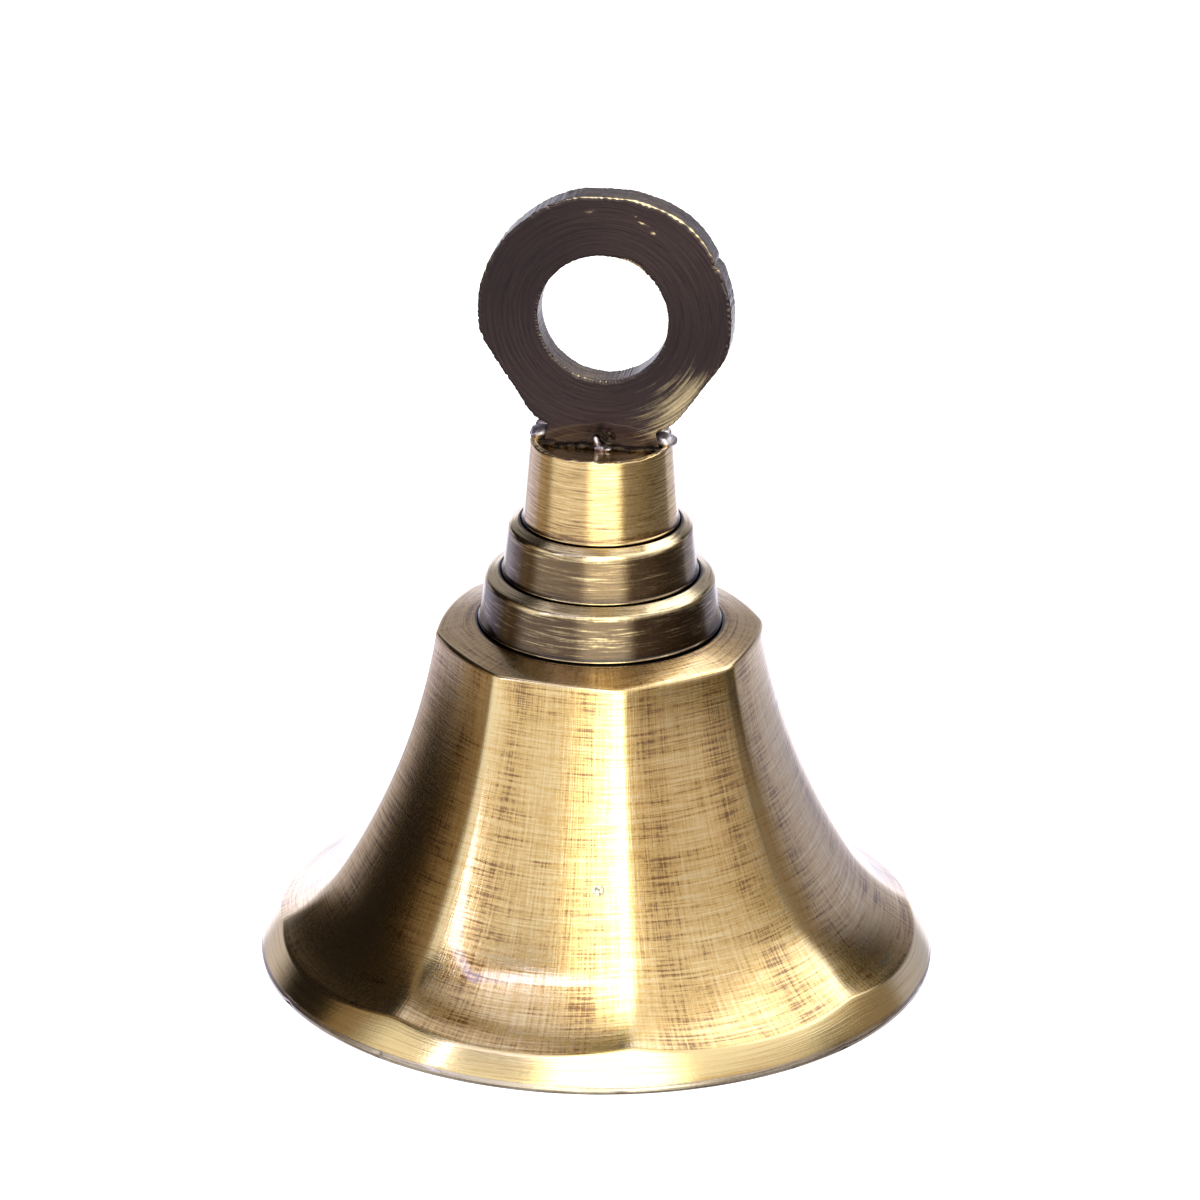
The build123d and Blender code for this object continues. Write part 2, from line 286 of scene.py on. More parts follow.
# ---- node helpers ------------------------------------------------------------------------------
class Nodes:
    """Short way to write a shader tree."""

    def __init__(self, tree):
        self.tree = tree
        tree.nodes.clear()

    def add(self, kind, inputs=None, **settings):
        node = self.tree.nodes.new(kind)
        for key, value in settings.items():
            setattr(node, key, value)
        for key, value in (inputs or {}).items():
            self.set(node.inputs[key], value)
        return node

    def set(self, socket, value):
        if isinstance(value, bpy.types.NodeSocket):
            self.tree.links.new(value, socket)
        elif isinstance(value, bpy.types.Node):
            self.tree.links.new(value.outputs[0], socket)
        else:
            socket.default_value = value

    def math(self, operation, a, b=0.0):
        return self.add("ShaderNodeMath", {0: a, 1: b}, operation=operation).outputs[0]

    def sum(self, *terms):
        """Sum of (value, weight) pairs."""
        total = None
        for value, weight in terms:
            scaled = value if weight == 1.0 else self.math("MULTIPLY", value, weight)
            total = scaled if total is None else self.math("ADD", total, scaled)
        return total

    def centred(self, value):
        """Noise, which lies about a half, moved to lie about 0."""
        return self.math("SUBTRACT", value, 0.5)

    def mix(self, factor, a, b):
        node = self.add("ShaderNodeMix", data_type="RGBA")
        self.set(node.inputs["Factor"], factor)
        self.set(node.inputs[6], a)
        self.set(node.inputs[7], b)
        return node.outputs[2]

    def step(self, value, low, high):
        """0 at low, 1 at high, eased between; low may be the greater."""
        node = self.add("ShaderNodeMapRange", {"Value": value, "From Min": low, "From Max": high},
                        interpolation_type="SMOOTHSTEP")
        return node.outputs[0]

    def noise(self, vector, scale, detail=4.0, roughness=0.55):
        node = self.add("ShaderNodeTexNoise", {"Vector": vector, "Scale": scale, "Detail": detail,
                                               "Roughness": roughness})
        return node.outputs["Fac"]

    def strands(self, place, along, pitch, length, detail):
        """Noise drawn out into lines: pitch of them to a unit of along, each about length long."""
        share = 1.0 / (length * MM)
        across = self.math("MULTIPLY", along, pitch / share)
        node = self.add("ShaderNodeTexNoise", {"Vector": place, "W": across, "Scale": share,
                                               "Detail": detail, "Roughness": 0.6},
                        noise_dimensions="4D")
        return node.outputs["Fac"]


def new_material(name):
    material = bpy.data.materials.new(name)
    material.use_nodes = True
    return material, Nodes(material.node_tree)


def rgb(r, g, b):
    return (r, g, b, 1.0)


# ---- materials ---------------------------------------------------------------------------------
BRIGHT = rgb(0.92, 0.72, 0.40)
PATINA = rgb(0.22, 0.10, 0.026)
# near black: scorch on the ring, and painted shade in the crevices and seats of the crown
SCORCH_AND_SHADE_BLACK = rgb(0.012, 0.009, 0.009)
PIT_DARK, PIT_LIGHT = rgb(0.07, 0.06, 0.05), rgb(0.38, 0.36, 0.34)
PIT_PLACE = (0.00251, -0.01586, 0.0120)
PIT_R, PIT_INNER_R, PIT_RAGGED = 0.00056, 0.00036, 0.0007
CROSS_LENGTH = 3.85                    # millimetres
COAT_ROUGHNESS, COAT_IOR = 0.035, 1.7


def brushed_metal(name, bright, dull, patina=PATINA, roughness=0.25, anisotropy=0.6, across=0.0,
                  uneven=0.35, pitch=7.0, length=8.0, coat=1.0, pit=None):
    """Brushed, patinated and lacquered metal, for pieces with brush coordinates and a painted rub value that
    also holds painted shade and painted highlights.

    bright, dull and patina are its colours where freshly rubbed, as usual, and between the brush
    lines.  pitch is the number of brush lines to a millimetre, length their length in millimetres,
    across the share of them that run across the main ones, and uneven how far they turn dull metal
    bright or dark.  pit is the place in metres of one small casting flaw."""
    material, n = new_material(name)
    uv = n.add("ShaderNodeSeparateXYZ", {0: n.add("ShaderNodeUVMap", uv_map="brush")})
    along, over = uv.outputs[0], uv.outputs[1]
    place = n.add("ShaderNodeTexCoord").outputs["Object"]
    # the wear attribute: rub wear together with painted shade in crevices and painted highlights on edges
    wear_and_painted_light = n.add("ShaderNodeAttribute", attribute_name="wear_and_painted_light").outputs["Fac"]

    fine = n.strands(place, over, pitch, length, 2.0)
    coarse = n.strands(place, over, 0.3 * pitch, length, 3.0)
    cloud = n.noise(place, 210.0, 5.0)
    grain = n.noise(place, 3600.0, 2.0)
    lines = n.sum((fine, 0.94), (coarse, 0.06))
    if across:
        cross = n.strands(place, along, 1.1 * pitch, CROSS_LENGTH, 2.0)
        lines = n.sum((lines, 1.0 - across), (cross, across))

    # colour: patina, dull and bright by how rubbed it is, and near black where the wear is nearly nothing:
    # scorch on the ring, painted shade in the crevices of the crown
    tone = n.sum((n.centred(lines), 4.0), (n.centred(cloud), 0.5), (n.centred(grain), 0.6))
    rub = n.sum((wear_and_painted_light, 1.0), (tone, uneven))
    colour = n.mix(n.step(rub, 0.0, 0.55), patina, dull)
    colour = n.mix(n.step(rub, 0.5, 1.0), colour, bright)
    colour = n.mix(n.step(n.sum((wear_and_painted_light, 1.0), (tone, 0.06)), 0.03, 0.24), SCORCH_AND_SHADE_BLACK, colour)
    rough = n.math("ADD", roughness, n.math("MULTIPLY", n.math("SUBTRACT", 0.5, rub), 0.12))
    rough = n.sum((rough, 1.0), (n.centred(grain), 0.10))
    height = n.sum((lines, 1.0), (grain, 0.25))
    if pit:
        apart = n.add("ShaderNodeVectorMath", {0: place, 1: pit}, operation="DISTANCE").outputs["Value"]
        apart = n.sum((apart, 1.0), (n.centred(n.noise(place, 1500.0)), PIT_RAGGED))
        flaw = n.step(apart, PIT_R, PIT_INNER_R)
        colour = n.mix(flaw, colour, n.mix(n.step(grain, 0.4, 0.6), PIT_DARK, PIT_LIGHT))
        height = n.math("SUBTRACT", height, n.math("MULTIPLY", flaw, 1.5))

    bump = n.add("ShaderNodeBump", {"Strength": 0.35, "Distance": 0.05 * MM, "Height": height})
    tangent = n.add("ShaderNodeTangent", direction_type="UV_MAP", uv_map="brush")
    shader = n.add("ShaderNodeBsdfPrincipled", {
        "Base Color": colour, "Metallic": 1.0, "Roughness": rough, "Normal": bump, "Tangent": tangent,
        "Anisotropic": anisotropy, "Anisotropic Rotation": 0.25, "Coat Weight": coat,
        "Coat Roughness": COAT_ROUGHNESS, "Coat IOR": COAT_IOR})
    n.add("ShaderNodeOutputMaterial", {"Surface": shader})
    return material


def plain_metal(name, light, dark, roughness, scale, bump_mm=0.02):
    """Cast or drawn metal for pieces with no brush coordinates."""
    material, n = new_material(name)
    place = n.add("ShaderNodeTexCoord").outputs["Object"]
    cloud = n.noise(place, scale, 6.0, 0.6)
    grain = n.noise(place, scale * 9, 3.0)
    colour = n.mix(n.step(n.sum((cloud, 1.0), (n.centred(grain), 0.5)), 0.35, 0.68), dark, light)
    rough = n.math("ADD", roughness, n.math("MULTIPLY", n.centred(grain), 0.3))
    height = n.sum((cloud, 1.0), (grain, 0.4))
    bump = n.add("ShaderNodeBump", {"Strength": 0.6, "Distance": bump_mm * MM, "Height": height})
    shader = n.add("ShaderNodeBsdfPrincipled", {"Base Color": colour, "Roughness": rough, "Normal": bump,
                                                "Metallic": 1.0})
    n.add("ShaderNodeOutputMaterial", {"Surface": shader})
    return material


shell_brass = brushed_metal("shell_brass", BRIGHT, rgb(0.76, 0.51, 0.19), roughness=0.23, across=0.38,
                            uneven=0.80, pitch=6.5, length=4.0, pit=PIT_PLACE)
band_brass = brushed_metal("band_brass", rgb(0.97, 0.76, 0.38), rgb(0.80, 0.56, 0.23), uneven=0.45, coat=0.8)
lip_brass = brushed_metal("lip_brass", rgb(0.66, 0.57, 0.46), rgb(0.40, 0.32, 0.24), rgb(0.10, 0.07, 0.05),
                          roughness=0.40, anisotropy=0.3, uneven=0.9)
inside_brass = plain_metal("inside_brass", rgb(0.50, 0.36, 0.17), rgb(0.26, 0.17, 0.09), 0.45, 320.0, 0.05)
lower_brass = brushed_metal("dark_brass", rgb(0.88, 0.72, 0.44), rgb(0.100, 0.058, 0.029),
                            rgb(0.035, 0.02, 0.012), uneven=0.33, pitch=7.5, length=2.6, coat=0.5)
middle_brass = brushed_metal("old_brass", rgb(0.88, 0.72, 0.44), rgb(0.175, 0.108, 0.052),
                             rgb(0.055, 0.032, 0.018), uneven=0.33, pitch=7.5, length=2.6, coat=0.5)
neck_brass = brushed_metal("turned_brass", BRIGHT, rgb(0.72, 0.49, 0.20), roughness=0.23, anisotropy=0.65,
                           uneven=0.50, pitch=7.5, length=2.6, coat=0.8)
ring_bronze = brushed_metal("ring_bronze", rgb(0.84, 0.67, 0.42), rgb(0.048, 0.031, 0.034),
                            rgb(0.018, 0.011, 0.016), roughness=0.33, anisotropy=0.5, uneven=0.20,
                            pitch=8.0, length=3.0, coat=0.3)
braze_metal = plain_metal("braze_metal", rgb(0.72, 0.68, 0.74), rgb(0.26, 0.22, 0.26), 0.38, 900.0, 0.06)
# near black: scorch, and along the ring's foot partly a painted shadow line
burnt_and_shadow_metal = plain_metal("burnt_and_shadow_metal", rgb(0.10, 0.07, 0.05), rgb(0.012, 0.009, 0.008), 0.50, 1400.0, 0.08)
bolt_brass = plain_metal("bolt_brass", rgb(0.62, 0.46, 0.22), rgb(0.30, 0.20, 0.10), 0.34, 500.0)
wire_steel = plain_metal("wire_steel", rgb(0.46, 0.45, 0.44), rgb(0.20, 0.18, 0.17), 0.36, 700.0)
ball_brass = plain_metal("ball_brass", rgb(0.66, 0.49, 0.24), rgb(0.36, 0.24, 0.12), 0.32, 260.0)


# ---- shell -------------------------------------------------------------------------------------
OUTER, BAND, LIP, INSIDE = range(4)
SHELL_MATERIALS = [shell_brass, band_brass, lip_brass, inside_brass]
PER_FACET = 36
FACET_STEP = 2 * math.pi / FACETS
LIP_DENTS = 34
BRUSH_R = 18.0                         # brush lines are spaced out along the shell as at this radius

flare = arc_through(FLARE_TOP, FLARE_MID, FLARE_LOW)
foot = tangent_arc(flare, FLARE_FOOT)
foot_way = (foot[-1] - foot[-2]) / np.hypot(*(foot[-1] - foot[-2]))
run_out = foot[-1] + np.outer(np.linspace(0.1, FLARE_RUN_OUT, 16), foot_way)
facet_line = np.vstack([flare, foot[1:], run_out])[::-1]
band_line = np.vstack([arc_through((MOUTH_R, LIP_H), BAND_MID, BAND_TOP, 40), [BAND_RUN_OUT],
                       [(BAND_RUN_OUT[0], CROWN_Z)]])


def facet_radius(angle, z):
    """Radius of the facets at an angle and a height, with the corners just eased."""
    middle = np.interp(z, facet_line[:, 1], facet_line[:, 0]) + SET_BACK
    off = (angle - math.radians(FACET_TURN) + FACET_STEP / 2) % FACET_STEP - FACET_STEP / 2

    def one(delta):
        return -SET_BACK * np.cos(delta) + np.sqrt(middle**2 - (SET_BACK * np.sin(delta))**2)

    return smooth_min(one(off), one(FACET_STEP - np.abs(off)), CORNER_EASE)


def band_radius(z):
    """Radius of the round rim band at a height."""
    return np.interp(z, band_line[:, 1], band_line[:, 0])


def top_height(radius):
    """Height of the sloping top of the shell at a radius."""
    return CROWN_Z + (radius - LOWER_R) * (SHELL_TOP_Z - CROWN_Z) / (SHELL_TOP_R - LOWER_R)


def crossing(angle, gap, low, high):
    """Height between low and high at which gap(angle, z) changes sign, found by halving."""
    low = np.full_like(angle, low)
    high = np.full_like(angle, high)
    for _ in range(40):
        middle = (low + high) / 2
        above = gap(angle, middle) > 0
        high = np.where(above, middle, high)
        low = np.where(above, low, middle)
    return (low + high) / 2


def shell_angles():
    """Angles round the shell, closest near the corners, and how many degrees each is from one."""
    share = np.sin(np.linspace(-math.pi / 2, math.pi / 2, PER_FACET, endpoint=False))
    start = math.radians(FACET_TURN)
    angle = np.concatenate([start + FACET_STEP * k + FACET_STEP / 2 * share for k in range(FACETS)])
    return angle, np.degrees(FACET_STEP / 2) * (1 - np.abs(np.tile(share, FACETS)))


def lip_dents(angle):
    """How far small knocks have pushed the lip in, in millimetres."""
    dent = np.zeros_like(angle)
    for _ in range(LIP_DENTS):
        place = rng.uniform(0, 2 * math.pi)
        width = rng.uniform(0.004, 0.014)
        away = (angle - place + math.pi) % (2 * math.pi) - math.pi
        dent += rng.uniform(0.03, 0.13) * swell(away, width)
    return dent


def lip_rings(rings, angle):
    """Flat foot of the rim and the small upright lip, with its knocks."""
    dents = lip_dents(angle)
    flat = rounded([(HOLLOW_MOUTH_R, 0.12), (HOLLOW_MOUTH_R + 0.12, 0), (24.2, 0), (24.93, 0)], 0.1, 3)
    for radius, height in flat:
        rings.add(radius, height, 0.35, INSIDE if height > 0.01 else LIP)
    for height, back in ((0.04, 0.03), (0.09, 0.0), (0.2, 0.0), (0.3, 0.0), (0.36, 0.015), (0.40, 0.06)):
        rings.add(MOUTH_R - back - dents * (1.2 - height), height, 0.70 - 6 * dents * (height < 0.2), LIP)


def wall_rings(rings, angle, from_corner):
    """Rim band, facets and the sloping top down to the seat of the lower tier."""
    meet_z = crossing(angle, lambda a, z: band_radius(z) - facet_radius(a, z), LIP_H, BAND_RUN_OUT[1])
    edge_z = crossing(angle, lambda a, z: z - top_height(facet_radius(a, z)), FACET_TOP_EDGE_Z, CROWN_Z)
    edge_r = facet_radius(angle, edge_z)

    def wall(z, wear_and_painted_light, slot):
        rings.add(smooth_min(facet_radius(angle, z), band_radius(z), RUN_OUT_EASE), z, wear_and_painted_light, slot)

    for t in (1 - np.linspace(1, 0, 22)**1.6)[1:]:
        z = BAND_FOOT_Z + (meet_z - BAND_FOOT_Z) * t
        wall(z, 0.92 - 0.60 * swell(z - BAND_FOOT_Z, 0.10, 1) + 0.10 * t**8, BAND)
    # corners rubbed bright and given a painted highlight, with painted shade in a band beside them, standing
    # in for reflections the facets' shape does not give
    corner_rub_and_sheen = 0.62 + 0.30 * swell(from_corner, 2.6) - 0.24 * swell(from_corner - 10.0, 4.5)
    low_z = edge_z - TOP_EDGE_EASE
    for t in np.linspace(0, 1, 136)[1:]**1.5:
        z = meet_z + (low_z - meet_z) * t
        wall(z, corner_rub_and_sheen - 0.10 * swell(z - meet_z, 0.35, 1), OUTER)
    low_r = facet_radius(angle, low_z)
    inner_r = edge_r - TOP_EDGE_EASE
    for t in np.linspace(0, 1, 7)[1:]:
        rings.add(corner_curve(low_r, edge_r, inner_r, t),
                  corner_curve(low_z, edge_z, top_height(inner_r), t), 0.85, OUTER)
    seat_r = LOWER_R + SEAT_GAP
    # painted shade: the top darkens toward the seat of the lower tier
    for t in np.linspace(0, 1, 16)[1:]:
        radius = inner_r + (seat_r + 0.06 - inner_r) * t
        rings.add(radius, top_height(radius), 0.55 - 0.10 * t - 0.45 * t**8, OUTER)
    # painted shade: the seat and the bolt hole near black
    for radius, height in ((seat_r, CROWN_Z - 0.08), (seat_r, SEAT_Z), (5.0, SEAT_Z), (BOLT_HOLE_R, SEAT_Z),
                           (BOLT_HOLE_R, CEILING_Z)):
        rings.add(radius, height, 0.02, OUTER)


def hollow_rings(rings):
    """Inside of the shell, from its ceiling down to the mouth."""
    wall = arc_through(HOLLOW_LOW, HOLLOW_MID, HOLLOW_TOP)
    dome = tangent_arc(wall, (HOLLOW_CROWN_R, CEILING_Z), 16)
    foot_arc = arc_through((HOLLOW_MOUTH_R, 0.14), HOLLOW_FOOT, HOLLOW_LOW, 40)
    for radius, height in np.vstack([foot_arc, wall[1:], dome[1:], [(HOLLOW_MIDDLE_R, CEILING_Z)]])[::-1]:
        rings.add(radius, height, 0.4, INSIDE)


def bell_shell():
    angle, from_corner = shell_angles()
    rings = Rings(len(angle))
    lip_rings(rings, angle)
    wall_rings(rings, angle, from_corner)
    hollow_rings(rings)
    radius, height, wear_and_painted_light, slots = rings.arrays()
    points = np.stack([radius * np.sin(angle), -radius * np.cos(angle), height], -1)
    steps = np.hypot(np.diff(radius, axis=0), np.diff(height, axis=0))
    run = np.vstack([np.zeros(len(angle)), np.cumsum(steps, 0)]).mean(1, keepdims=True)
    uv = np.stack([np.broadcast_to((angle - angle[0]) * BRUSH_R, radius.shape), run + 0 * radius], -1)
    return grid_object("shell_body", points, uv, wear_and_painted_light, SHELL_MATERIALS, slots)


# ---- tiers of the crown ------------------------------------------------------------------------
RING_SPACING = 0.12                     # longest run between two rings of a turned skin


def crevice_shade_width(angle):
    """How far painted shade reaches out of a corner, in millimetres: more at the sides as seen from the
    camera.
    """
    return 0.03 + 0.20 * np.sin(angle - math.radians(CAMERA_AZIMUTH))**2


def tier_foot(foot_r, foot_z, stand_z, bead_in):
    """Profile from the seated foot of a tier, up past the fine bead it stands on."""
    bead_r = foot_r + FOOT_BEAD
    return [(foot_r, foot_z + 0.1), (foot_r, stand_z), (bead_r, stand_z + 0.06), (bead_r, stand_z + 0.14),
            (foot_r - bead_in, stand_z + 0.22)]


def foot_shade_and_glint(wear_and_painted_light, points, path, foot_r, stand_z):
    """Wear with painted shade in the corner under the tier, and a painted highlight on the bead above it
    where that shade is narrow, toward the front and back.
    """
    shade_width = crevice_shade_width(np.arctan2(points[..., 0], -points[..., 1]))
    above = (path[:, 1] - stand_z)[:, None] + 0 * wear_and_painted_light
    # painted highlight: a glint on the bead
    bead_glint = swell(np.hypot(path[:, 0] - foot_r - FOOT_BEAD, path[:, 1] - stand_z - 0.1), 0.11)
    # painted shade in the corner under the tier
    wear_and_painted_light = wear_and_painted_light * smooth_step(above, 0.2 * shade_width, 1.2 * shade_width + 0.03)
    return wear_and_painted_light + 0.5 * bead_glint[:, None] * (shade_width < 0.2)


def tier(name, foot_r, foot_z, top_r, top_z, seat_r, metal):
    """Tapered collar with a fine bead round its foot, a rounded edge and a climbing ledge."""
    ledge_z = top_z + LEDGE_RISE
    stand_z = foot_z + SEAT_DEPTH
    path = rounded([(BOLT_HOLE_R, foot_z), (foot_r - 0.12, foot_z), *tier_foot(foot_r, foot_z, stand_z, 0.04),
                    (top_r, top_z), (seat_r + 0.05, ledge_z), (seat_r, ledge_z - SEAT_DEPTH),
                    (BOLT_HOLE_R, ledge_z - SEAT_DEPTH), (BOLT_HOLE_R, foot_z)], 0.24, 6)
    path = refined(path, RING_SPACING)
    points, uv = turned_grid(path)
    radius, height = path[:, 0], path[:, 1]
    # the rounded top edge brighter: partly rub wear, partly a painted highlight
    wear_and_painted_light = 0.50 + 0.35 * swell(np.hypot(radius - top_r, height - top_z), 0.28)
    # painted shade: a dark band just above the foot
    wear_and_painted_light -= 0.40 * swell(height - stand_z - 0.25, 0.22, 1)
    on_ledge = height > top_z + 0.04
    # the ledge bright: partly rub wear, partly a painted highlight
    wear_and_painted_light = np.where(on_ledge, 0.95, wear_and_painted_light)
    # painted shade: near black on the foot down in the seat and on the ledge next to the seat
    wear_and_painted_light = np.where((radius < seat_r + 0.04) | (height < stand_z), 0.0, wear_and_painted_light)[:, None] + 0 * uv[..., 0]
    # painted shade on the ledge beside the seat, its width set by the angle from the camera
    shade_width = crevice_shade_width(np.arctan2(points[..., 0], -points[..., 1]))
    ledge_wear_and_shade = wear_and_painted_light * smooth_step((radius - seat_r)[:, None], 0.4 * shade_width, shade_width + 0.06)
    wear_and_painted_light = np.where(on_ledge[:, None], ledge_wear_and_shade, wear_and_painted_light)
    return grid_object(name, points, uv, foot_shade_and_glint(wear_and_painted_light, points, path, foot_r, stand_z), [metal])


def neck_piece():
    """Tapered neck with a thin bright rim round a dished top."""
    low_z = size_of("neck")[0][2]
    stand_z = low_z + SEAT_DEPTH
    path = rounded([(BOLT_HOLE_R, low_z), (NECK_R - 0.1, low_z), *tier_foot(NECK_R, low_z, stand_z, 0.03),
                    (NECK_TOP_R + 0.02, NECK_TOP_Z), (DISH_R + 0.25, NECK_TOP_Z),
                    (DISH_R - DISH_DEPTH, DISH_FLOOR_Z), (0.02, DISH_FLOOR_Z)], 0.16, 6)
    path = refined(path, RING_SPACING)
    points, uv = turned_grid(path)
    radius, height = path[:, 0], path[:, 1]
    angle = np.arctan2(points[..., 0], -points[..., 1])
    rim = swell(np.hypot(radius - NECK_TOP_R + 0.12, height - NECK_TOP_Z), math.sqrt(0.03))
    points[..., 2] -= (0.05 + 0.05 * waves(angle[0], 12, 5, 60)) * rim[:, None]
    wear_and_painted_light = 0.56 + 0.45 * rim - 0.12 * swell(height - stand_z, 2.0, 1)
    # painted shade: a dark band just above the foot
    wear_and_painted_light -= 0.35 * swell(height - stand_z - 0.25, 0.25, 1)
    wear_and_painted_light = np.where((height < DISH_FLOOR_Z + 0.35) & (radius < DISH_R), 0.36, wear_and_painted_light)
    # painted shade: near black on the foot down in the seat
    wear_and_painted_light = np.where(height < stand_z, 0.0, wear_and_painted_light)[:, None] + 0 * uv[..., 0]
    wear_and_painted_light = foot_shade_and_glint(wear_and_painted_light, points, path, NECK_R, stand_z)
    return grid_object("neck_body", points, uv, wear_and_painted_light, [neck_brass])


# ---- hanging ring ------------------------------------------------------------------------------
RING_COLUMNS = 720
FACE_RINGS = 30
# small scratches on the faces of the ring: angle, distance from the middle, half length, half width
RING_SCRATCHES = ((97, 8.15, 2.8, 0.07), (69, 7.95, 3.0, 0.08), (62, 7.65, 1.7, 0.09), (74, 8.3, 1.4, 0.05))


def flank_line(side):
    """Start of the ring's straight flank and the way down it to the foot, from the hole's middle."""
    a = math.radians(FLANK_ANGLES[side > 0])
    start = RING_R * np.array([side * math.cos(a), math.sin(a)])
    return start, np.array([side * RING_FOOT_HALF, RING_FOOT_TOP_Z - RING_Z]) - start


def ring_outline(angle):
    """Distance from the middle of the hole to the ring's edge, by angle from +X toward +Z."""
    across, up = np.cos(angle), np.sin(angle)
    # the circle is a little flat at the left and full at the upper right, then filed flat on top
    reach = RING_R - 0.22 * np.clip(-across, 0, 1) * np.clip(1.2 + up, 0, 1)
    reach += 0.22 * swell(np.degrees(angle) - 48, 20)
    reach = np.where(up > 0.2, smooth_min(reach, (RING_FLAT_Z - RING_Z) / np.maximum(up, 0.2), 0.12), reach)
    for side in (-1, 1):
        start, way = flank_line(side)
        cross = across * way[1] - up * way[0]
        hit = (start[0] * way[1] - start[1] * way[0]) / np.where(np.abs(cross) < 1e-9, 1e-9, cross)
        here = (side * across > 0) & (hit > 0) & (up < 0)
        reach = np.where(here, smooth_min(reach, np.where(hit > 0, hit, reach), 0.30), reach)
    side_hit = RING_FOOT_HALF / np.maximum(np.abs(across), 1e-6)
    foot_hit = (RING_FOOT_Z - RING_Z) / np.minimum(up, -1e-6)
    past_flank = np.abs(across / np.minimum(up, -1e-6)) < RING_FOOT_HALF / (RING_Z - RING_FOOT_TOP_Z)
    return np.where((up < -0.5) & past_flank, np.minimum(side_hit, foot_hit), reach)


def ring_edges(angle, degrees):
    """Rough outline and hole of the ring, and how far the edges of each are chipped back."""
    outline = ring_outline(angle)
    outline = (np.roll(outline, 1) + 2 * outline + np.roll(outline, -1)) / 4
    rough_side = 0.4 + 0.6 * np.clip(-np.cos(angle), 0, 1)
    outline = outline + 0.04 * waves(angle, 14, 3, 24) + 0.026 * rough_side * waves(angle, 40, 40, 200, 0.3)
    hole = RING_HOLE_R + 0.012 * waves(angle, 10, 3, 30) + 0.012 * waves(angle, 20, 40, 160, 0.3)
    chip_out = np.clip(0.10 + 0.07 * waves(angle, 30, 8, 160, 0.3), 0.02, 0.3)
    chip_in = np.clip(0.08 + 0.06 * waves(angle, 30, 8, 160, 0.3), 0.02, 0.25)
    chip_in += 0.22 * swell(degrees - 62, 13)
    outline -= 0.14 * swell(degrees - 29, 1.6)
    return outline, hole, chip_out, chip_in


def ring_face_wear_and_sheen(x, z, radius, degrees):
    """Wear on a face of the ring: a painted golden sheen toward the right flank, bright scratches, and
    scorched at the foot.
    """
    start, way = flank_line(1)
    way = way / np.hypot(*way)
    along = (x - start[0]) * way[0] + (z - start[1]) * way[1]
    inset = (x - start[0]) * way[1] - (z - start[1]) * way[0]
    # painted sheen: a soft golden glow toward the right flank
    sheen_and_scratches = (0.30 * swell(along - 4.6, 3.2) * swell(inset, 1.9)
            + 0.22 * swell(along - 5.6, 4.6) * swell(inset, 3.6))
    for place, reach, length, width in RING_SCRATCHES:
        sheen_and_scratches = sheen_and_scratches + 0.6 * swell(degrees - place, length) * swell(radius - reach, width)
    ragged = (0.75 + 0.35 * np.sin(5.1 * x + 2.0 * z) * np.sin(3.7 * z - 1.3 * x)
              + 0.25 * np.sin(9.0 * x - 4.0 * z))
    return 0.34 + sheen_and_scratches - 0.40 * ragged * swell(x + 0.1, 1.15) * swell(z + 8.9, 0.95)


def ring_piece():
    """Rough-cut plate ring: two faces, a sawn edge and a drilled hole, closed round its section."""
    angle = np.linspace(0, 2 * math.pi, RING_COLUMNS, endpoint=False)
    degrees = (np.degrees(angle) + 180) % 360 - 180
    outline, hole, chip_out, chip_in = ring_edges(angle, degrees)
    half = RING_T / 2
    nicks = np.clip(waves(angle, 50, 30, 300, 0.2), 0, 2)
    lit_edge = 0.10 + 0.75 * swell(degrees - 68, 36, 4) + 0.20 * nicks
    lit_hole = 0.05 + 0.85 * swell(degrees - 66, 22, 4) + 0.25 * nicks
    rings = Rings(RING_COLUMNS)

    def face(side, shares):
        for t in shares:
            radius = hole + chip_in + (outline - chip_out - hole - chip_in) * t
            wear_and_painted_light = ring_face_wear_and_sheen(radius * np.cos(angle), radius * np.sin(angle), radius, degrees)
            rings.add(radius, side * half, wear_and_painted_light)

    rings.add(hole, -half + chip_in, 0.58)
    rings.add(hole + 0.3 * chip_in, -half + 0.3 * chip_in, 0.50 + lit_hole)
    face(-1, np.linspace(0, 1, FACE_RINGS))
    rings.add(outline - 0.35 * chip_out, -half + 0.25 * chip_out, 0.45 + lit_edge)
    rings.add(outline, -half + chip_out, 0.62)
    for t in np.linspace(-0.8, 0.8, 7):
        rings.add(outline + 0.012 * waves(angle, 20, 20, 120, 0.3), half * t, 0.58)
    rings.add(outline, half - chip_out, 0.6)
    rings.add(outline - 0.35 * chip_out, half - 0.25 * chip_out, 0.5 + 0.5 * lit_edge)
    face(1, np.linspace(1, 0, FACE_RINGS))
    rings.add(hole + 0.3 * chip_in, half - 0.3 * chip_in, 0.6)
    rings.add(hole, half - chip_in, 0.55)
    for t in np.linspace(0.7, -0.7, 5):
        rings.add(hole, half * t, 0.62)
    rings.close()

    radius, depth, wear_and_painted_light, _ = (values[::-1] for values in rings.arrays())
    points = np.stack([RING_X + radius * np.cos(angle), depth, RING_Z + radius * np.sin(angle)], -1)
    uv = np.stack([np.broadcast_to(angle * 7.0, radius.shape), radius + 3 * depth], -1)
    return grid_object("ring_plate", points, uv, wear_and_painted_light, [ring_bronze])


# ---- braze -------------------------------------------------------------------------------------
BLOB_ROWS, BLOB_COLUMNS = 18, 28
BEAD_BLOBS, SCORCH_BLOBS = 10, 7
BEAD_START, BEAD_STEP = -3.9, 0.85
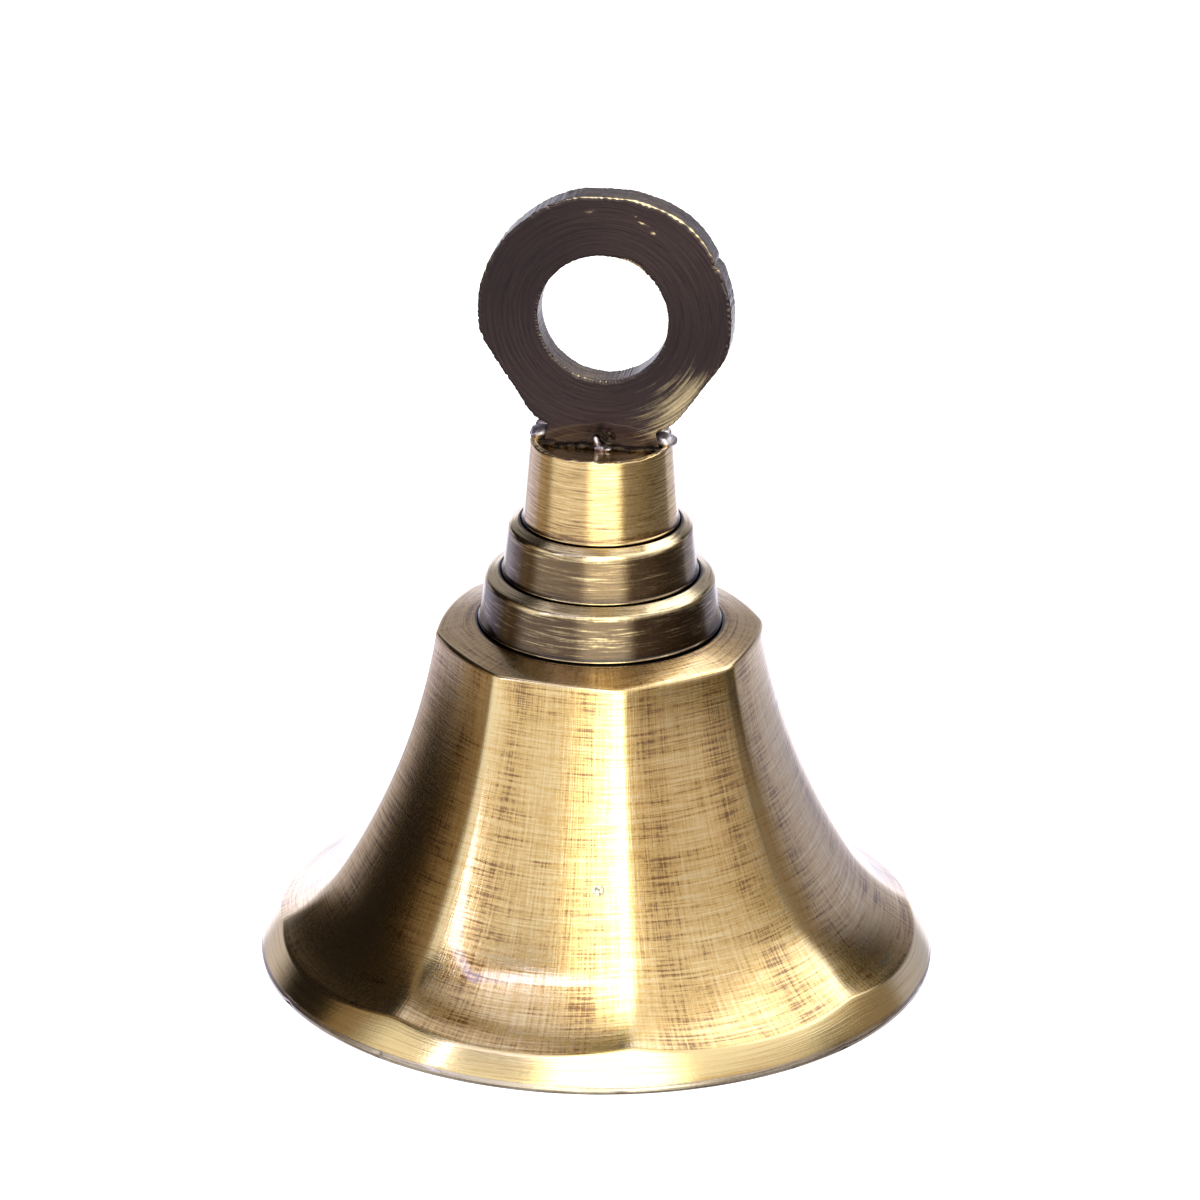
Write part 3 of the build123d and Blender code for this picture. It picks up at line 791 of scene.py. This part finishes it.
# pale lumps: centre from the ring's foot at the height of the neck's rim, radii, lean, seed
SPIKE_Y = -RING_T / 2
PALE_BLOBS = (
    ((-4.50, -0.20, 0.20), (0.95, 0.80, 0.55), -0.12, 3),
    ((-4.35, 0.45, 0.35), (0.70, 0.55, 0.75), 0.25, 5),
    ((4.55, -0.20, 0.22), (0.90, 0.80, 0.50), 0.25, 4),
    ((4.30, 0.45, 0.35), (0.65, 0.50, 0.75), -0.2, 6),
    ((-0.26, SPIKE_Y - 0.32, 0.00), (0.26, 0.20, 0.58), -0.30, 41),
    ((-0.02, SPIKE_Y - 0.42, -0.32), (0.42, 0.28, 0.28), 0.0, 43),
    ((0.42, SPIKE_Y - 0.46, -0.34), (0.44, 0.26, 0.16), -0.25, 42),
)


def blob(centre, radii, lean, seed):
    """Uneven rounded lump of braze: its points in metres and its faces."""
    phases = np.random.default_rng(seed).uniform(0, 6.28, 6)
    theta, phi = np.meshgrid(math.pi * np.arange(BLOB_ROWS + 1) / BLOB_ROWS,
                             2 * math.pi * np.arange(BLOB_COLUMNS) / BLOB_COLUMNS, indexing="ij")
    round_off = np.sin(theta)
    swollen = 1 + 0.10 * np.sin(3 * phi + phases[0]) * round_off \
        + 0.08 * np.sin(5 * theta + phases[1]) * np.sin(2 * phi + phases[2]) * round_off
    x = radii[0] * round_off * np.cos(phi) * swollen
    y = radii[1] * round_off * np.sin(phi) * swollen
    z = radii[2] * np.cos(theta)
    c, s = math.cos(lean), math.sin(lean)
    place = np.array([RING_X, 0, NECK_TOP_Z]) + centre
    points = place + np.stack([c * x + s * z, y, c * z - s * x], -1)
    index = np.arange(points.shape[0] * BLOB_COLUMNS).reshape(-1, BLOB_COLUMNS)
    beside = np.roll(index, -1, 1)
    faces = np.stack([index[:-1], index[1:], beside[1:], beside[:-1]], -1).reshape(-1, 4)
    return points.reshape(-1, 3) * MM, faces


def dark_bead_and_scorch_blobs():
    """Dark bead along each face of the ring's foot, partly a braze bead and partly a painted shadow line, and
    scorched crumbs above it at the front.
    """
    blobs = []
    for side in (-1, 1):
        for k in range(BEAD_BLOBS):
            x = BEAD_START + BEAD_STEP * k + rng.uniform(-0.15, 0.15)
            blobs.append(((x, side * (RING_T / 2 + 0.10), -0.36 + rng.uniform(-0.05, 0.08)),
                          (0.80, rng.uniform(0.25, 0.5), rng.uniform(0.18, 0.28)), rng.uniform(-0.1, 0.1),
                          10 + k + 20 * (side > 0)))
    for k in range(SCORCH_BLOBS):
        blobs.append(((rng.uniform(-0.9, 0.9), -RING_T / 2 + 0.02, rng.uniform(-0.1, 0.75)),
                      (rng.uniform(0.15, 0.4), 0.12, rng.uniform(0.15, 0.35)),
                      rng.uniform(-0.6, 0.6), 60 + k))
    return blobs


def braze_piece():
    """Lumps of braze at the ends of the ring's foot, a spike at its front, and the dark beads that are partly
    a painted shadow line.
    """
    made = [blob(*settings) for settings in (*PALE_BLOBS, *dark_bead_and_scorch_blobs())]
    verts = np.vstack([points for points, _ in made])
    faces = np.vstack([quads + k * len(points) for k, (points, quads) in enumerate(made)])
    mesh = bpy.data.meshes.new("ring_braze_lumps")
    mesh.from_pydata(verts.tolist(), [], faces.tolist())
    mesh.polygons.foreach_set("use_smooth", np.ones(len(faces), bool))
    mesh.materials.append(braze_metal)
    mesh.materials.append(burnt_and_shadow_metal)
    pale_faces = len(PALE_BLOBS) * BLOB_ROWS * BLOB_COLUMNS
    mesh.polygons.foreach_set("material_index", (np.arange(len(faces)) >= pale_faces).astype(np.int32))
    piece = bpy.data.objects.new("ring_braze_lumps", mesh)
    bpy.context.scene.collection.objects.link(piece)
    return piece


# ---- pieces on the frame -----------------------------------------------------------------------
def make_pieces():
    """Each skin, in place of its CAD node.  The order fixes the random draws."""
    (_, _, lower_z), (_, _, lower_top) = size_of("lower_collar")
    (_, _, middle_z), (_, _, middle_top) = size_of("middle_collar")
    shell = bell_shell()
    lower = tier("lower_tier", LOWER_R, lower_z, LOWER_TOP_R, lower_top - LEDGE_RISE, MIDDLE_R + SEAT_GAP,
                 lower_brass)
    middle = tier("middle_tier", MIDDLE_R, middle_z, MIDDLE_TOP_R, middle_top - LEDGE_RISE, NECK_R + SEAT_GAP,
                  middle_brass)
    for node, piece, slot in (("bell_shell", shell, "shell_brass"),
                              ("lower_collar", lower, "turned_brass"),
                              ("middle_collar", middle, "turned_brass"),
                              ("neck", neck_piece(), "turned_brass"),
                              ("hanging_ring", ring_piece(), "ring_bronze"),
                              ("ring_braze", braze_piece(), "braze")):
        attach(piece, "bell")
        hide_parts(node)


def dress_inner_parts():
    """Materials for the inner parts, whose shapes come straight from the model."""
    dress = {"eye_bolt": bolt_brass, "crown_washer": bolt_brass, "crown_nut": bolt_brass,
             "clapper_link": wire_steel, "clapper_rod": wire_steel, "clapper_ball": ball_brass}
    for node, material in dress.items():
        for slot in frame["nodes"][node].material_slots:
            slot.material = material


# ---- table, light and camera -------------------------------------------------------------------
def table():
    """Pale table round the bell, open under its mouth so that the inside can be seen from below."""
    count = 256
    angle = np.linspace(0, 2 * math.pi, count, endpoint=False)
    circle = np.stack([np.cos(angle), np.sin(angle), 0 * angle], -1)
    verts = np.vstack([circle * TABLE_HOLE_R, circle * TABLE_R]) * MM
    faces = [(k, count + k, count + (k + 1) % count, (k + 1) % count) for k in range(count)]
    mesh = bpy.data.meshes.new("table")
    mesh.from_pydata(verts.tolist(), [], faces)
    floor = bpy.data.objects.new("table", mesh)
    bpy.context.scene.collection.objects.link(floor)
    material, n = new_material("table_white")
    diffuse = n.add("ShaderNodeBsdfDiffuse", {"Color": rgb(0.9, 0.9, 0.9)})
    glow = n.add("ShaderNodeEmission", {"Color": rgb(1, 1, 1), "Strength": 0.62})
    n.add("ShaderNodeOutputMaterial", {"Surface": n.add("ShaderNodeAddShader", {0: diffuse, 1: glow})})
    floor.data.materials.append(material)
    floor.visible_glossy = False


# Soft panels of light all round the bell.  Azimuth is measured from the camera, positive to its right,
# and elevation from level.  Each panel has azimuth from, to, and how soft each of those edges is; the
# same for elevation; strength; and colour.
PANELS = (
    # in front
    (-17, 28, 8, 9, -17, 72, 3, 14, 3.5, (1.0, 0.99, 0.80)),
    (-84, -14, 9, 8, -17, 36, 3, 5, 0.90, (1.0, 0.97, 0.90)),
    (-80, -14, 9, 8, 52, 82, 5, 6, 0.85, (1.0, 0.98, 1.08)),
    (-80, -22, 9, 8, -19, -10, 3, 4, 0.45, (1.0, 0.97, 0.90)),
    (26, 80, 9, 16, -5, 24, 4, 8, 0.66, (1.0, 0.90, 0.80)),
    (26, 56, 9, 20, -17, -5, 3, 4, 0.17, (1.0, 0.92, 0.84)),
    (26, 80, 9, 8, 26, 82, 7, 8, 1.0, (1.0, 0.97, 0.92)),
    # side and foot of a window frame at the left
    (-59, -55, 1.0, 1.0, 14, 45, 8, 1, 4.0, (0.86, 0.88, 1.35)),
    (-59, -12, 1, 10, 45.0, 51.0, 1.0, 1.5, 3.6, (0.86, 0.88, 1.35)),
    # right side and back
    (80, 125, 8, 6, 28, 88, 9, 6, 1.85, (1.0, 1.0, 0.98)),
    (90, 121, 5, 3, -6, 30, 5, 8, 0.20, (1.0, 0.80, 0.60)),
    (121, 158, 4, 8, -60, 14, 5, 10, 0.48, (0.88, 0.90, 1.15)),
    (124, 176, 10, 10, 38, 66, 6, 8, 2.2, (1.0, 1.0, 1.0)),
    # left side and back
    (-165, -130, 6, 8, -14, 8, 5, 5, 0.62, (0.94, 0.90, 1.05)),
    (-150, -112, 8, 5, -60, -14, 5, 4, 0.60, (0.88, 0.86, 1.25)),
    (-101, -88, 4, 5, -60, 60, 5, 8, 0.22, (1.0, 0.72, 0.42)),
    (-113, -99, 4, 4, -60, -7, 5, 4, 0.22, (1.0, 0.78, 0.55)),
    (-180, -105, 2, 10, 56, 80, 5, 6, 0.9, (0.97, 0.94, 1.03)),
)
# the same, but alike on both sides: their azimuth is how far they are from the camera either way
MIRRORED_PANELS = (
    (156, 210, 6, 6, -60, 10, 5, 7, 1.15, (0.94, 0.94, 1.12)),
    (150, 210, 10, 6, 12, 44, 7, 8, 0.34, (0.94, 0.92, 1.05)),
    (0, 210, 1, 1, -95, -17, 5, 3, 0.42, (1.0, 0.97, 0.97)),
)
DARKEST = (0.012, 0.009, 0.008)


def studio():
    """World of soft panels for light and reflections, plain white where the camera sees it."""
    world = bpy.data.worlds.new("studio")
    bpy.context.scene.world = world
    world.use_nodes = True
    n = Nodes(world.node_tree)
    way = n.add("ShaderNodeSeparateXYZ", {0: n.add("ShaderNodeTexCoord").outputs["Generated"]})
    x, y, z = way.outputs
    turn = math.radians(CAMERA_AZIMUTH)
    side = n.sum((x, math.cos(turn)), (y, math.sin(turn)))
    toward = n.sum((x, math.sin(turn)), (y, -math.cos(turn)))
    azimuth = n.math("MULTIPLY", n.math("ARCTAN2", side, toward), 180 / math.pi)
    elevation = n.math("MULTIPLY", n.math("ARCSINE", z), 180 / math.pi)

    def stretch(value, low, high, soft_low, soft_high):
        rise = n.step(value, low - soft_low, low + soft_low)
        fall = n.step(value, high + soft_high, high - soft_high)
        return n.math("MULTIPLY", rise, fall)

    total = DARKEST
    for panels, turned in ((PANELS, azimuth), (MIRRORED_PANELS, n.math("ABSOLUTE", azimuth))):
        for a0, a1, soft_a0, soft_a1, e0, e1, soft_e0, soft_e1, strength, colour in panels:
            mask = n.math("MULTIPLY", stretch(turned, a0, a1, soft_a0, soft_a1),
                          stretch(elevation, e0, e1, soft_e0, soft_e1))
            light = n.add("ShaderNodeVectorMath", {0: tuple(strength * c for c in colour), "Scale": mask},
                          operation="SCALE")
            total = n.add("ShaderNodeVectorMath", {0: total, 1: light}, operation="ADD")
    soft = n.add("ShaderNodeBackground", {"Color": total, "Strength": 1.0})
    white = n.add("ShaderNodeBackground", {"Color": rgb(1, 1, 1), "Strength": 1.0})
    seen = n.add("ShaderNodeLightPath").outputs["Is Camera Ray"]
    n.add("ShaderNodeOutputWorld", {"Surface": n.add("ShaderNodeMixShader", {0: seen, 1: soft, 2: white})})


def overhead_light():
    """Weak wide light above, which leaves no reflection of its own."""
    light = bpy.data.lights.new("overhead", "AREA")
    light.shape = "DISK"
    light.size = 1.2
    light.energy = 3.0
    lamp = bpy.data.objects.new("overhead", light)
    lamp.location = (0, 0, 1.4)
    lamp.visible_glossy = False
    bpy.context.scene.collection.objects.link(lamp)


def camera():
    azimuth, elevation, roll = (math.radians(a) for a in (CAMERA_AZIMUTH, CAMERA_ELEVATION, CAMERA_ROLL))
    back = Vector((math.sin(azimuth) * math.cos(elevation), -math.cos(azimuth) * math.cos(elevation),
                   math.sin(elevation)))
    right = Vector((math.cos(azimuth), math.sin(azimuth), 0))
    up = back.cross(right)
    rolled_right = right * math.cos(roll) + up * math.sin(roll)
    rolled_up = up * math.cos(roll) - right * math.sin(roll)
    lens = bpy.data.cameras.new("camera")
    lens.lens = CAMERA_LENS
    lens.sensor_width = CAMERA_SENSOR
    eye = bpy.data.objects.new("camera", lens)
    turn = Matrix((rolled_right, rolled_up, back)).transposed().to_4x4()
    eye.matrix_world = Matrix.Translation(Vector(AIM) + back * CAMERA_DISTANCE) @ turn
    bpy.context.scene.collection.objects.link(eye)
    bpy.context.scene.camera = eye


make_pieces()
dress_inner_parts()
table()
studio()
overhead_light()
camera()
bpy.context.scene.view_settings.view_transform = "Standard"
bpy.context.scene.view_settings.look = "None"
